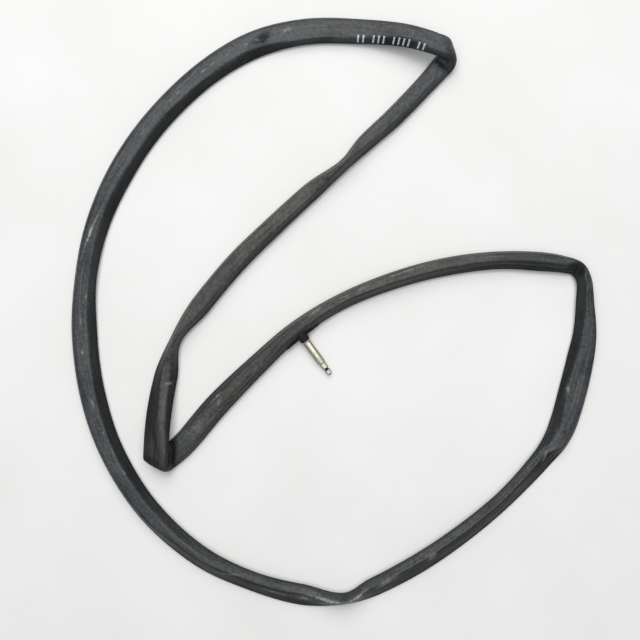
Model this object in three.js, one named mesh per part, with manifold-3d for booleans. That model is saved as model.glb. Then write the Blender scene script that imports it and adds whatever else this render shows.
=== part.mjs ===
// Slack bicycle inner tube with a Presta valve, lying on a flat surface.
// Millimetres, +Z up, origin on the surface under the middle of the tube's box.
// The tube is a thin hollow ring. Seen from above it runs from the valve to a tight corner, round the
// big loop to fold A, back along a straight limb to fold B, and up to the valve again.

import * as THREE from 'three';
import { mergeVertices } from 'three/addons/utils/BufferGeometryUtils.js';
import Module from 'manifold-3d';

const wasm = await Module();
wasm.setup();

// ---- driving dimensions -------------------------------------------------------------------

const WALL = 0.9;              // butyl wall
const GAP = 0.3;               // clearance between bonded rubber pieces
const SIDES = 12;              // corners of the tube's section
const SQUARENESS = 2.4;        // exponent of the section's superellipse
const STEP = 20;               // longest distance between two sections
const ROUND = 24;              // segments of the turned valve pieces

// Every row is one section of the tube: x, y of its centre, its width and its height.
const OUTER_STRETCH = [
  [-120.5, -106, 18.5, 8],     // leaving fold B
  [-93.5, -74.5, 18.5, 9.5],
  [-62, -43, 16, 11],
  [-29.2, -13.6, 13.4, 12.5],  // at the valve
  [7.6, 9, 12.4, 12.5],
  [52, 26.5, 13.2, 12.5],
  [92, 36.5, 13.8, 12],
  [131, 41, 13.6, 12.5],
  [162.5, 40, 14.6, 12.5],
  [180, 38, 13.2, 13],         // into the tight corner
  [192, 34.5, 11.4, 14],
  [197.5, 26.5, 11.2, 14],
  [199, 6.5, 14, 12.5],
  [199, -17, 17.5, 10.5],
  [196, -36, 20.5, 8.5],
  [190, -62, 21.6, 7.5],
  [182, -89, 20.8, 8],         // into the soft kink
  [176, -101.5, 19, 9],
  [165.5, -116, 16.6, 10],
  [134.5, -149, 14.4, 11.5],
  [98.5, -178.5, 15.2, 11.5],
  [65.5, -200.5, 15.8, 11],
  [31, -218.5, 15, 11.5],
  [9, -227, 8.6, 15],        // bottom pinch
  [-27, -224, 17, 10.5],
  [-66.5, -213, 15.6, 11.5],
  [-106.5, -193.5, 16.8, 11],
  [-147.5, -156.5, 17.6, 10.5],
  [-176.5, -110.5, 18.2, 10.5],
  [-191.5, -66, 19.2, 10],
  [-198, -18, 19.2, 10],
  [-196.5, 29, 16.6, 11],
  [-187, 71.5, 17.8, 10.5],
  [-166, 116.5, 19.6, 10],
  [-139, 154, 19.4, 10],
  [-101, 190, 19.8, 9.5],
  [-64, 212, 20.6, 9],
  [-26.5, 222, 19.8, 9.5],
  [12.5, 223, 19.2, 9.5],
  [52, 217.5, 17.6, 9.5],
];
const INNER_STRETCH = [
  [72.5, 180.5, 15, 10],       // leaving fold A
  [47.5, 154.5, 14.6, 11],
  [25, 134, 13, 12],
  [8.5, 117, 8.8, 15],         // upper pinch
  [-18, 95.5, 14.2, 12],
  [-49.5, 66.5, 15.2, 11.5],
  [-77.5, 39, 15.8, 11.5],
  [-105.5, 5.5, 15.6, 11.5],
  [-125, -21.5, 8.8, 15],      // lower pinch
  [-133, -49.5, 18, 10],
  [-138, -82, 19.4, 8],
];

// A fold turns the tube over like a strip of ribbon: it comes in on top and leaves underneath.
// centre is where the upper layer's centreline meets the fold's axis, and angles are in degrees.
const FOLD_A = { centre: [82.8, 207.3], angleIn: -14, angleOut: -133, radius: 6.5, width: 16.6, height: 9 };
const FOLD_B = { centre: [-139, -114], angleIn: -94.5, angleOut: 46.5, radius: 5.5, width: 19, height: 7 };
const FOLD_STEPS = 6;          // sections round each fold
const FOLD_REACH = 45;         // vertices this near a fold's centre can lie on it
const CLIMB = 75;              // length over which the upper layer rises to a fold

// Valve, measured along its stem from the tube's outer skin.
const VALVE_ROW = 3;           // the row of OUTER_STRETCH that carries the valve
const VALVE_ANGLE = -53.6;     // heading of the stem seen from above
const VALVE_DIP = 5.1;         // the stem slopes down to rest its nut on the surface
const PAD = { length: 38, height: 10.4, thickness: 1.1, reach: 32 };
const HOLE = 3.3;              // radius of the hole in the rubber for the stem
const STEM = { radius: 3, foot: -3.7, footRadius: 3.7, footHeight: 0.8, top: 26.5, bore: 1.8, coreBore: 2.25,
  coreSeat: 18.6, chamfer: 0.4 };
const BOSS = { radius: 4.9, topRadius: 4.1, top: 5.6 };
const CORE = { shank: 2.05, collar: 2.3, collarBase: 26.8, top: 31.8, tube: 1.55, shankEnd: 20.5, end: 12,
  bore: 1.15, flats: 3.7, flatsBase: 27.7, flatsTop: 30.9, chamfer: 0.3 };
const GASKET = { inner: 1.65, outer: 2.1, low: 18.9, high: 20.2 };
const PIN = { radius: 0.75, thread: 0.95, threadBase: 31.2, head: 1.15, low: 8.7, headTop: 9.3, tip: 1.3,
  tipBase: 37.2, top: 37.7 };
const SEAL = { inner: 0.95, outer: 1.4, low: 10.5, high: 11.8 };
const CUP = { inner: 0.95, outer: 1.3, low: 9.5, high: 10.3 };
const NUT = { radius: 2.25, bore: 1.15, low: 32.8, high: 37, chamfer: 0.35 };

// ---- materials ------------------------------------------------------------------------------

const material = (color, roughness, metalness) =>
  new THREE.MeshStandardMaterial({ color, roughness, metalness });
const butyl = material(0x34383a, 0.55, 0);
const mouldedRubber = material(0x1e2021, 0.6, 0);
const nickel = material(0xc9c4b0, 0.3, 1);
const brass = material(0xb89a5a, 0.35, 1);
const steel = material(0xc4c4c2, 0.28, 1);
const sealRubber = material(0x17181a, 0.7, 0);
const plastic = material(0xd8d4c8, 0.5, 0);

const group = new THREE.Group();

function add(parent, name, geometry, look) {
  const mesh = new THREE.Mesh(geometry, look);
  mesh.name = name;
  parent.add(mesh);
  return mesh;
}

// ---- solids for cutting and joining ---------------------------------------------------------

function toSolid(geometry) {
  const plain = geometry.clone();
  plain.deleteAttribute('normal');
  plain.deleteAttribute('uv');
  const merged = mergeVertices(plain, 1e-4);
  return new wasm.Manifold(new wasm.Mesh({
    numProp: 3,
    vertProperties: Float32Array.from(merged.attributes.position.array),
    triVerts: Uint32Array.from(merged.index.array),
  }));
}

function toGeometry(solid) {
  const mesh = solid.getMesh();
  const geometry = new THREE.BufferGeometry();
  geometry.setAttribute('position', new THREE.BufferAttribute(mesh.vertProperties, 3));
  geometry.setIndex(new THREE.BufferAttribute(mesh.triVerts, 1));
  return geometry;
}

// ---- the tube's route -------------------------------------------------------------------------

const UP = new THREE.Vector3(0, 0, 1);
const heading = (degrees) => {
  const angle = THREE.MathUtils.degToRad(degrees);
  return new THREE.Vector3(Math.cos(angle), Math.sin(angle), 0);
};

// Works out a fold's axis, its two ends and the height of its axis.
function makeFold({ centre, angleIn, angleOut, radius, width, height }) {
  const along = heading((angleIn + angleOut) / 2);
  const cross = heading(angleIn).sub(along.clone().multiplyScalar(heading(angleIn).dot(along)));
  const out = cross.normalize();
  const slip = Math.PI * radius * heading(angleIn).dot(along) / heading(angleIn).dot(out);
  const start = new THREE.Vector3(centre[0], centre[1], 0);
  const end = start.clone().addScaledVector(along, slip);
  return { along, out, start, end, radius, width, height, axisHeight: height / 2 + radius,
    directionIn: heading(angleIn), directionOut: heading(angleOut) };
}
const foldA = makeFold(FOLD_A);
const foldB = makeFold(FOLD_B);

// Bends a point round a fold. Points past the fold are first unrolled onto the incoming strip.
function bend(fold, point, leaving) {
  if (point.distanceTo(fold.start) > FOLD_REACH) return point;
  const offset = point.clone().sub(fold.start);
  let reach = offset.dot(fold.out);
  let lift = point.z - fold.axisHeight;
  if (leaving) {
    reach = Math.PI * fold.radius - reach;
    lift = -lift;
  }
  const angle = THREE.MathUtils.clamp(reach / fold.radius, 0, Math.PI);
  const straight = reach - angle * fold.radius;
  const place = fold.start.clone().addScaledVector(fold.along, offset.dot(fold.along));
  place.addScaledVector(fold.out, lift * Math.sin(angle) + straight * Math.cos(angle));
  place.z = fold.axisHeight + lift * Math.cos(angle);
  return place;
}

// One section: its centre, the way the tube runs, which way its upper face looks, and its size.
const section = (centre, along, face, width, height) => ({ centre, along, face, width, height });

// Sections along a stretch between two folds. climb raises the end that passes over the next fold.
function stretchSections(rows, from, to, face) {
  const first = [from.end.x, from.end.y, from.width, from.height];
  const last = [to.start.x, to.start.y, to.width, to.height];
  const all = [first, ...rows, last];
  const plan = new THREE.CatmullRomCurve3(all.map(([x, y]) => new THREE.Vector3(x, y, 0)));
  const size = new THREE.CatmullRomCurve3(all.map(([, , w, h]) => new THREE.Vector3(w, h, 0)));
  const spans = all.length - 1;
  const sections = [];
  for (let span = 0; span < spans; span += 1) {
    const length = Math.hypot(all[span + 1][0] - all[span][0], all[span + 1][1] - all[span][1]);
    const count = Math.ceil(length / STEP);
    for (let i = 0; i < count; i += 1) {
      const t = (span + i / count) / spans;
      const { x: width, y: height } = size.getPoint(t);
      sections.push(section(plan.getPoint(t), plan.getTangent(t), face, width, height));
    }
  }
  sections.push(section(to.start.clone(), to.directionIn, face, to.width, to.height));
  sections[0].along = from.directionOut;
  sections.forEach((one, index) => {
    const remaining = one.centre.distanceTo(to.start);
    const arriving = index > sections.length / 2;
    const rise = arriving ? THREE.MathUtils.smoothstep(CLIMB - remaining, 0, CLIMB) : 0;
    one.centre.z = one.height / 2 + rise * 2 * to.radius;
  });
  return sections;
}

// Sections round a fold, laid out flat past its axis before they are bent.
function foldSections(fold, face) {
  const travel = Math.PI * fold.radius / fold.directionIn.dot(fold.out);
  const level = fold.axisHeight + fold.radius;
  const sections = [];
  for (let i = 1; i < FOLD_STEPS; i += 1) {
    const centre = fold.start.clone().addScaledVector(fold.directionIn, travel * i / FOLD_STEPS);
    centre.z = level;
    sections.push(section(centre, fold.directionIn, face, fold.width, fold.height));
  }
  return sections;
}

// The corners of one section, offset outwards by grow.
function ring({ centre, along, face, width, height }, grow) {
  const up = UP.clone().multiplyScalar(face);
  const side = up.clone().cross(along).normalize();
  const points = [];
  for (let i = 0; i < SIDES; i += 1) {
    const angle = (i + 0.5) * 2 * Math.PI / SIDES;
    const across = Math.cos(angle);
    const over = Math.sin(angle);
    const radius = (Math.abs(across) ** SQUARENESS + Math.abs(over) ** SQUARENESS) ** (-1 / SQUARENESS);
    const flat = Math.abs(over) > 0.9 ? Math.sign(over) / radius : over;
    const point = centre.clone();
    point.addScaledVector(side, (width / 2 + grow) * radius * across);
    point.addScaledVector(up, (height / 2 + grow) * radius * flat);
    points.push(point);
  }
  return points;
}

const outerSections = stretchSections(OUTER_STRETCH, foldB, foldA, 1);
const innerSections = stretchSections(INNER_STRETCH, foldA, foldB, -1);

// All the rings of the closed tube, each with its own bend applied.
function tubeRings(grow) {
  const half = (sections, from, to) => sections.map((one, index) => {
    const arriving = index > sections.length / 2;
    return ring(one, grow).map((point) => bend(arriving ? to : from, point, !arriving));
  });
  const wrap = (fold, face) => foldSections(fold, face).map((one) =>
    ring(one, grow).map((point) => bend(fold, point, false)));
  return [
    ...half(outerSections, foldB, foldA),
    ...wrap(foldA, 1),
    ...half(innerSections, foldA, foldB),
    ...wrap(foldB, -1),
  ];
}

// A closed skin through rings. It joins up with its own start, or is capped at both ends.
function loft(rings, closed) {
  const positions = rings.flat().flatMap((point) => [point.x, point.y, point.z]);
  const index = [];
  const last = closed ? rings.length : rings.length - 1;
  for (let i = 0; i < last; i += 1) {
    const here = i * SIDES;
    const next = ((i + 1) % rings.length) * SIDES;
    for (let j = 0; j < SIDES; j += 1) {
      const k = (j + 1) % SIDES;
      index.push(here + j, next + k, next + j);
      index.push(here + j, here + k, next + k);
    }
  }
  if (!closed) {
    const end = (rings.length - 1) * SIDES;
    for (let j = 1; j < SIDES - 1; j += 1) {
      index.push(0, j + 1, j);
      index.push(end, end + j, end + j + 1);
    }
  }
  const geometry = new THREE.BufferGeometry();
  geometry.setAttribute('position', new THREE.Float32BufferAttribute(positions, 3));
  geometry.setIndex(index);
  return geometry;
}

// ---- rubber ---------------------------------------------------------------------------------

const [valveX, valveY, valveWidth, valveHeight] = OUTER_STRETCH[VALVE_ROW];
const valveCentre = new THREE.Vector3(valveX, valveY, valveHeight / 2);
const valveAxis = heading(VALVE_ANGLE).multiplyScalar(Math.cos(THREE.MathUtils.degToRad(VALVE_DIP)));
valveAxis.z = -Math.sin(THREE.MathUtils.degToRad(VALVE_DIP));
const alongTube = valveAxis.clone().cross(UP).normalize();
const valveFrame = new THREE.Matrix4().makeBasis(alongTube, valveAxis, alongTube.clone().cross(valveAxis));
valveFrame.setPosition(valveCentre.clone().addScaledVector(valveAxis, valveWidth / 2));

// A round bar along the stem's axis, already in the tube's own frame.
function valveBar(radiusX, radiusZ, low, high) {
  const bar = new THREE.CylinderGeometry(1, 1, high - low, ROUND * 2);
  bar.scale(radiusX, 1, radiusZ);
  bar.translate(0, (low + high) / 2, 0);
  return toSolid(bar.applyMatrix4(valveFrame));
}

// The stretch of tube next to the valve, with its skin moved outwards by grow.
function tubeAtValve(grow) {
  const near = outerSections.filter(({ centre }) => centre.distanceTo(valveCentre) < PAD.reach);
  return toSolid(loft(near.map((one) => ring(one, grow)), false));
}

const skin = toSolid(loft(tubeRings(0), true));
const cavity = toSolid(loft(tubeRings(-WALL), true));
const hole = valveBar(HOLE, HOLE, -valveWidth / 2, PAD.length);
add(group, 'rubber_tube', toGeometry(skin.subtract(cavity).subtract(hole)), butyl);

const padOutline = valveBar(PAD.length / 2, PAD.height / 2, -valveWidth / 2, BOSS.top);
const padSkin = tubeAtValve(GAP + PAD.thickness).subtract(tubeAtValve(GAP));
add(group, 'valve_pad', toGeometry(padSkin.intersect(padOutline).subtract(hole)), mouldedRubber);

// ---- valve ----------------------------------------------------------------------------------

const valve = new THREE.Group();
valve.applyMatrix4(valveFrame);
group.add(valve);

// A turned piece. Its outline goes round the wall anticlockwise, as radius and height pairs.
function turned(outline) {
  const points = outline.map(([radius, height]) => new THREE.Vector2(radius, height));
  if (outline[0][0] > 0) points.push(points[0]);
  return new THREE.LatheGeometry(points, ROUND);
}

const washer = ({ inner, outer, low, high }) =>
  turned([[inner, low], [outer, low], [outer, high], [inner, high]]);

const dome = turned([[0, -STEM.radius], [BOSS.radius, -STEM.radius], [BOSS.radius, BOSS.top / 2],
  [BOSS.topRadius, BOSS.top], [0, BOSS.top]]).applyMatrix4(valveFrame);
const boss = toSolid(dome).subtract(tubeAtValve(2 * GAP + PAD.thickness)).subtract(hole);
add(group, 'valve_boss', toGeometry(boss), mouldedRubber);

add(valve, 'valve_stem', turned([
  [STEM.bore, STEM.foot], [STEM.footRadius, STEM.foot], [STEM.footRadius, STEM.foot + STEM.footHeight],
  [STEM.radius, STEM.foot + STEM.footHeight], [STEM.radius, STEM.top - STEM.chamfer],
  [STEM.radius - STEM.chamfer, STEM.top], [STEM.coreBore, STEM.top],
  [STEM.coreBore, STEM.coreSeat], [STEM.bore, STEM.coreSeat],
]), nickel);

function coreBody() {
  const bar = toSolid(turned([
    [CORE.bore, CORE.end], [CORE.tube, CORE.end], [CORE.tube, CORE.shankEnd], [CORE.shank, CORE.shankEnd],
    [CORE.shank, CORE.collarBase], [CORE.collar, CORE.collarBase], [CORE.collar, CORE.top - CORE.chamfer],
    [CORE.collar - CORE.chamfer, CORE.top], [CORE.bore, CORE.top],
  ]));
  const flatHeight = CORE.flatsTop - CORE.flatsBase;
  const cutters = [-1, 1].map((side) => {
    const box = new THREE.BoxGeometry(2 * CORE.collar, flatHeight, CORE.collar);
    box.translate(0, CORE.flatsBase + flatHeight / 2, side * (CORE.flats + CORE.collar) / 2);
    return toSolid(box);
  });
  return toGeometry(cutters.reduce((body, cutter) => body.subtract(cutter), bar));
}
add(valve, 'core_body', coreBody(), brass);
add(valve, 'core_gasket', washer(GASKET), plastic);

add(valve, 'plunger_pin', turned([
  [0, PIN.low], [PIN.head, PIN.low], [PIN.head, PIN.headTop], [PIN.radius, PIN.headTop],
  [PIN.radius, PIN.threadBase], [PIN.thread, PIN.threadBase], [PIN.thread, PIN.tipBase],
  [PIN.tip, PIN.tipBase], [PIN.tip, PIN.top], [0, PIN.top],
]), brass);
add(valve, 'plunger_seal', washer(SEAL), sealRubber);
add(valve, 'seal_cup', washer(CUP), brass);
add(valve, 'lock_nut', turned([
  [NUT.bore, NUT.low], [NUT.radius - NUT.chamfer, NUT.low], [NUT.radius, NUT.low + NUT.chamfer],
  [NUT.radius, NUT.high - NUT.chamfer], [NUT.radius - NUT.chamfer, NUT.high], [NUT.bore, NUT.high],
]), steel);

export default group;
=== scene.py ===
"""A slack bicycle inner tube with a screw-down valve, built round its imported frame. Metres, +Z up."""

import math
import random

import bpy
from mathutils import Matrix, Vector, noise


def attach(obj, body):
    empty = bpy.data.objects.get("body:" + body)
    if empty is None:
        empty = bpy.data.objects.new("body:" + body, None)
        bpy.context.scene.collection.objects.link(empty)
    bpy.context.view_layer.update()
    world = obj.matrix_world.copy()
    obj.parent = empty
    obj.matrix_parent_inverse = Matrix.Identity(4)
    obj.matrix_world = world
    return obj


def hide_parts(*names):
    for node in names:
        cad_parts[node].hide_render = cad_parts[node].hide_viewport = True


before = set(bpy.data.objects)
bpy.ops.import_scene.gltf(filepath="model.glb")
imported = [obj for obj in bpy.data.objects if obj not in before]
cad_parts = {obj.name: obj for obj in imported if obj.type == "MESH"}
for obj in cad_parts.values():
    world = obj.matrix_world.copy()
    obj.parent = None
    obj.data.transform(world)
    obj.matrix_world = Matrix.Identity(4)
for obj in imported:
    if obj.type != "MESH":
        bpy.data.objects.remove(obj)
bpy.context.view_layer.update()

MM = 0.001

# ---- camera, floor and light ---------------------------------

VIEW_CENTRE = (-0.01106, -0.0063)
VIEW_HEIGHT = 0.65
VIEW_WIDTH = 0.5107            # what the frame takes in at the floor
SENSOR = 36
NEAREST = 0.01                 # the camera sees nothing closer than this

FLOOR_HALF = 6
FLOOR_DROP = 0.0002            # below the tube, so that they never share a plane
FLOOR_DARK = (0.785, 0.785, 0.765, 1)
FLOOR_LIGHT = (0.83, 0.83, 0.815, 1)
FLOOR_MOTTLE = 9
FLOOR_DETAIL = 5
FLOOR_TONES_AT = (0.3, 0.7)
FLOOR_ROUGHNESS = 0.6
FLOOR_SPECULAR = 0.2

SKY = (0.93, 0.96, 1.0, 1)
SKY_STRENGTH = 0.27
AIM = Vector((0, 0, 0))        # what both lights point at


def make_camera():
    """A camera straight above the tube, as the photo was taken."""
    data = bpy.data.cameras.new("camera")
    data.sensor_width = SENSOR
    data.lens = SENSOR * VIEW_HEIGHT / VIEW_WIDTH
    data.clip_start = NEAREST
    camera = bpy.data.objects.new("camera", data)
    camera.location = (*VIEW_CENTRE, VIEW_HEIGHT)
    bpy.context.collection.objects.link(camera)
    bpy.context.scene.camera = camera


def new_material(name):
    """A new material with its node tree and its Principled shader."""
    material = bpy.data.materials.new(name)
    material.use_nodes = True
    shader = material.node_tree.nodes["Principled BSDF"]
    return material, material.node_tree, shader


def make_floor():
    """A plain pale floor with faint tones in it."""
    mesh = bpy.data.meshes.new("floor")
    corners = [(x * FLOOR_HALF, y * FLOOR_HALF, 0) for x, y in ((-1, -1), (1, -1), (1, 1), (-1, 1))]
    mesh.from_pydata(corners, [], [(0, 1, 2, 3)])
    floor = bpy.data.objects.new("floor", mesh)
    floor.location.z = -FLOOR_DROP
    bpy.context.collection.objects.link(floor)
    material, tree, shader = new_material("pale_floor")
    place = tree.nodes.new("ShaderNodeTexCoord").outputs["Object"]
    mottle = tree.nodes.new("ShaderNodeTexNoise")
    mottle.inputs["Scale"].default_value = FLOOR_MOTTLE
    mottle.inputs["Detail"].default_value = FLOOR_DETAIL
    tree.links.new(place, mottle.inputs["Vector"])
    tones = tree.nodes.new("ShaderNodeValToRGB")
    for stop, colour, position in zip(tones.color_ramp.elements, (FLOOR_DARK, FLOOR_LIGHT), FLOOR_TONES_AT):
        stop.color = colour
        stop.position = position
    tree.links.new(mottle.outputs["Fac"], tones.inputs["Fac"])
    tree.links.new(tones.outputs["Color"], shader.inputs["Base Color"])
    shader.inputs["Roughness"].default_value = FLOOR_ROUGHNESS
    shader.inputs["Specular IOR Level"].default_value = FLOOR_SPECULAR
    mesh.materials.append(material)


def make_light(name, place, size, power, colour):
    """A large round area light that points at the tube."""
    data = bpy.data.lights.new(name, "AREA")
    data.shape = "DISK"
    data.size = size
    data.energy = power
    data.color = colour
    light = bpy.data.objects.new(name, data)
    light.location = place
    light.rotation_euler = (AIM - Vector(place)).to_track_quat("-Z", "Y").to_euler()
    bpy.context.collection.objects.link(light)


def make_world():
    """Even light from all round."""
    world = bpy.data.worlds.new("world")
    bpy.context.scene.world = world
    world.use_nodes = True
    background = world.node_tree.nodes["Background"]
    background.inputs["Color"].default_value = SKY
    background.inputs["Strength"].default_value = SKY_STRENGTH


bpy.context.scene.view_settings.view_transform = "Standard"
make_camera()
make_floor()
make_world()
make_light("key", (-0.1, 1.25, 1.6), size=1.8, power=26.5, colour=(1.0, 0.998, 0.98))
make_light("fill", (-0.05, 0.05, 1.7), size=2.0, power=16.5, colour=(0.98, 0.99, 1.0))

# ---- the tube's route ----------------------------------------

# How the slack rubber lies across the tube. Across runs from -1 at the valve's side to 1 at the far
# side, and heights are shares of the row's height: the height of the edge on the valve's side, the
# place and height of the two shoulders of the upper face, the height of the far edge, the place and
# depth of a groove that the rubber has fallen into, and how much dull bloom there is on the face at
# the valve's side, between the shoulders and on the far face. The bloom values also carry painted
# shade: a face with less bloom is painted darker, as the steep faces look under the light.
STYLES = {
    "valve": (0.46, -0.5, 0.94, 0.7, 0.97, 0.42, 0.0, 0.0, 0.3, 0.85, 0.75),
    "wedge": (0.27, -0.27, 1.0, 0.8, 0.87, 0.4, -0.62, 0.04, 0.22, 0.85, 0.6),
    "lipped": (0.36, -0.2, 1.0, 0.8, 0.87, 0.4, -0.62, 0.13, 0.2, 0.85, 0.6),
    "wide": (0.25, -0.5, 0.98, 0.86, 0.97, 0.45, 0.0, 0.0, 0.12, 0.85, 0.3),
    "kink": (0.32, -0.36, 0.9, 0.7, 1.0, 0.4, 0.1, 0.0, 0.2, 0.8, 0.2),
    "far_steep": (0.45, -0.85, 0.84, -0.28, 1.0, 0.16, -0.62, 0.1, 0.6, 1.0, 0.0),
    "easing": (0.42, -0.5, 0.94, 0.05, 1.0, 0.22, -0.6, 0.04, 0.45, 0.75, 0.05),
    "roof": (0.3, -0.5, 0.97, 0.7, 0.97, 0.4, 0.0, 0.0, 0.2, 0.7, 0.4),
    "near_steep": (0.22, -0.43, 1.0, 0.82, 0.9, 0.42, -0.72, 0.03, 0.08, 1.0, 0.55),
    "soft": (0.36, -0.5, 0.96, 0.75, 0.95, 0.42, -0.64, 0.07, 0.45, 0.85, 0.6),
    "flat": (0.3, -0.82, 0.93, 0.8, 0.97, 0.42, 0.0, 0.0, 0.05, 1.0, 0.7),
    "printed": (0.3, -0.5, 0.93, 0.8, 0.98, 0.42, 0.0, 0.0, 0.08, 0.85, 0.6),
    "limb": (0.38, -0.6, 0.95, 0.76, 0.95, 0.42, -0.76, 0.1, 0.4, 0.85, 0.8),
    "low_limb": (0.3, -0.42, 0.93, 0.3, 1.0, 0.25, 0.0, 0.0, 0.1, 0.8, 0.1),
    "leaning": (0.35, -0.68, 0.95, -0.1, 1.0, 0.25, 0.0, 0.0, 0.1, 0.85, 0.12),
    "ridge": (0.5, -0.85, 0.95, -0.5, 1.0, 0.72, 0.2, 0.05, 0.1, 0.9, 0.2),
    "turned": (0.4, -0.75, 0.9, 0.8, 0.95, 0.42, 0.0, 0.0, 0.6, 0.9, 0.8),
    "mottled": (0.4, -0.5, 0.97, 0.6, 0.97, 0.32, -0.36, 0.07, 0.5, 0.8, 0.1),
    "corner": (0.2, 0.8, 1.0, 0.93, 0.9, 0.5, 0.0, 0.1, 0.25, 0.7, 0.6),
    "pinch": (0.35, -0.3, 0.92, 0.2, 1.0, 0.3, -0.6, 0.06, 0.5, 0.85, 0.3),
}

# A row is one section: x, y, width and height in millimetres, and its style.
OUTER_STRETCH = [
    (-120.5, -106, 18.5, 8, "flat"),  # leaving fold B
    (-93.5, -74.5, 18.5, 9.5, "mottled"),
    (-62, -43, 16, 11, "mottled"),
    (-29.2, -13.6, 13.4, 12.5, "valve"),  # at the valve
    (7.6, 9, 12.4, 12.5, "wedge"),
    (52, 26.5, 13.2, 12.5, "wedge"),
    (92, 36.5, 13.8, 12, "wedge"),
    (131, 41, 13.6, 12.5, "lipped"),
    (162.5, 40, 14.6, 12.5, "lipped"),
    (180, 38, 13.2, 13, "lipped"),  # into the tight corner
    (192, 34.5, 11.4, 14, "corner"),
    (197.5, 26.5, 11.2, 14, "lipped"),
    (199, 6.5, 14, 12.5, "lipped"),
    (199, -17, 17.5, 10.5, "wide"),
    (196, -36, 20.5, 8.5, "wide"),
    (190, -62, 21.6, 7.5, "wide"),
    (182, -89, 20.8, 8, "wedge"),  # into the soft kink
    (176, -101.5, 19, 9, "kink"),
    (165.5, -116, 16.6, 10, "far_steep"),
    (134.5, -149, 14.4, 11.5, "far_steep"),
    (98.5, -178.5, 15.2, 11.5, "far_steep"),
    (65.5, -200.5, 15.8, 11, "far_steep"),
    (31, -218.5, 15, 11.5, "far_steep"),
    (9, -227, 8.6, 15, "pinch"),  # bottom pinch
    (-27, -224, 17, 10.5, "far_steep"),
    (-66.5, -213, 15.6, 11.5, "far_steep"),
    (-106.5, -193.5, 16.8, 11, "easing"),
    (-147.5, -156.5, 17.6, 10.5, "roof"),
    (-176.5, -110.5, 18.2, 10.5, "near_steep"),
    (-191.5, -66, 19.2, 10, "near_steep"),
    (-198, -18, 19.2, 10, "near_steep"),
    (-196.5, 29, 16.6, 11, "soft"),
    (-187, 71.5, 17.8, 10.5, "near_steep"),
    (-166, 116.5, 19.6, 10, "near_steep"),
    (-139, 154, 19.4, 10, "near_steep"),
    (-101, 190, 19.8, 9.5, "near_steep"),
    (-64, 212, 20.6, 9, "near_steep"),
    (-26.5, 222, 19.8, 9.5, "flat"),
    (12.5, 223, 19.2, 9.5, "flat"),
    (52, 217.5, 17.6, 9.5, "printed"),
]
INNER_STRETCH = [
    (72.5, 180.5, 15, 10, "limb"),  # leaving fold A
    (47.5, 154.5, 14.6, 11, "limb"),
    (25, 134, 13, 12, "limb"),
    (8.5, 117, 8.8, 15, "pinch"),  # upper pinch
    (-18, 95.5, 14.2, 12, "limb"),
    (-49.5, 66.5, 15.2, 11.5, "limb"),
    (-77.5, 39, 15.8, 11.5, "limb"),
    (-105.5, 5.5, 15.6, 11.5, "limb"),
    (-125, -21.5, 8.8, 15, "pinch"),  # lower pinch
    (-133, -49.5, 18, 10, "low_limb"),
    (-138, -82, 19.4, 8, "leaning"),
]
FOLD_A = {
    "centre": (82.8, 207.3), "angle_in": -14, "angle_out": -133,
    "radius": 6.5, "width": 16.6, "height": 9, "style": "turned",
}
FOLD_B = {
    "centre": (-139, -114), "angle_in": -94.5, "angle_out": 46.5,
    "radius": 5.5, "width": 19, "height": 7, "style": "ridge",
}
FOLD_REACH = 45                # points this near a fold's centre can lie on it
CLIMB = 75                     # length over which the upper layer rises to a fold

# Dents in the upper face: distance from the valve and place across, half length in millimetres, half
# width across, depth in millimetres (a ridge if below zero), and how far it slants per millimetre.
# A dent in this list also takes bloom off its hollow, which paints shade into it.
DENTS = [
    (8, 0.2, 0.9, 0.5, 0.16, 0.02),
    (12.5, 0.35, 0.8, 0.4, 0.14, -0.03),
    (126, 0.1, 1.1, 0.8, 0.14, 0.02),
    (146, 0.25, 1.0, 0.6, 0.12, -0.02),
    (226, 0.2, 7, 0.14, 0.45, 0.06),
    (246, 0.1, 6, 0.16, 0.45, -0.05),
    (235.5, -0.2, 2.8, 1.1, 2.2, 0.0),
    (367, 0.3, 1.3, 0.45, 0.9, 0.12),
    (372, 0.85, 4, 0.2, -0.5, 0.0),
    (588, -0.4, 2.4, 0.5, 0.9, 0.1),
    (601, -0.2, 6, 0.14, 0.4, 0.05),
    (1197, -0.3, 9, 0.4, 1.0, 0.03),
    (1206, 0.12, 5, 0.32, 2.0, 0.035),
    (1326, 0.5, 8, 0.08, 0.35, -0.015),
    (1334, 0.2, 7, 0.08, 0.4, -0.03),
    (1373.5, -0.1, 3.4, 0.8, 2.4, 0.05),
    (1396, 0.25, 12, 0.1, -0.5, 0.01),
    (1505, -0.2, 3, 0.3, 0.8, 0.08),
    (1696, 0.1, 3, 0.3, 0.8, -0.08),
    (1752, 0.1, 14, 0.14, -0.5, -0.03),
    (1796.5, 0.0, 14, 0.44, 3.0, 0.104),
    (1806, 0.2, 12, 0.12, -0.4, 0.08),
]

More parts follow.
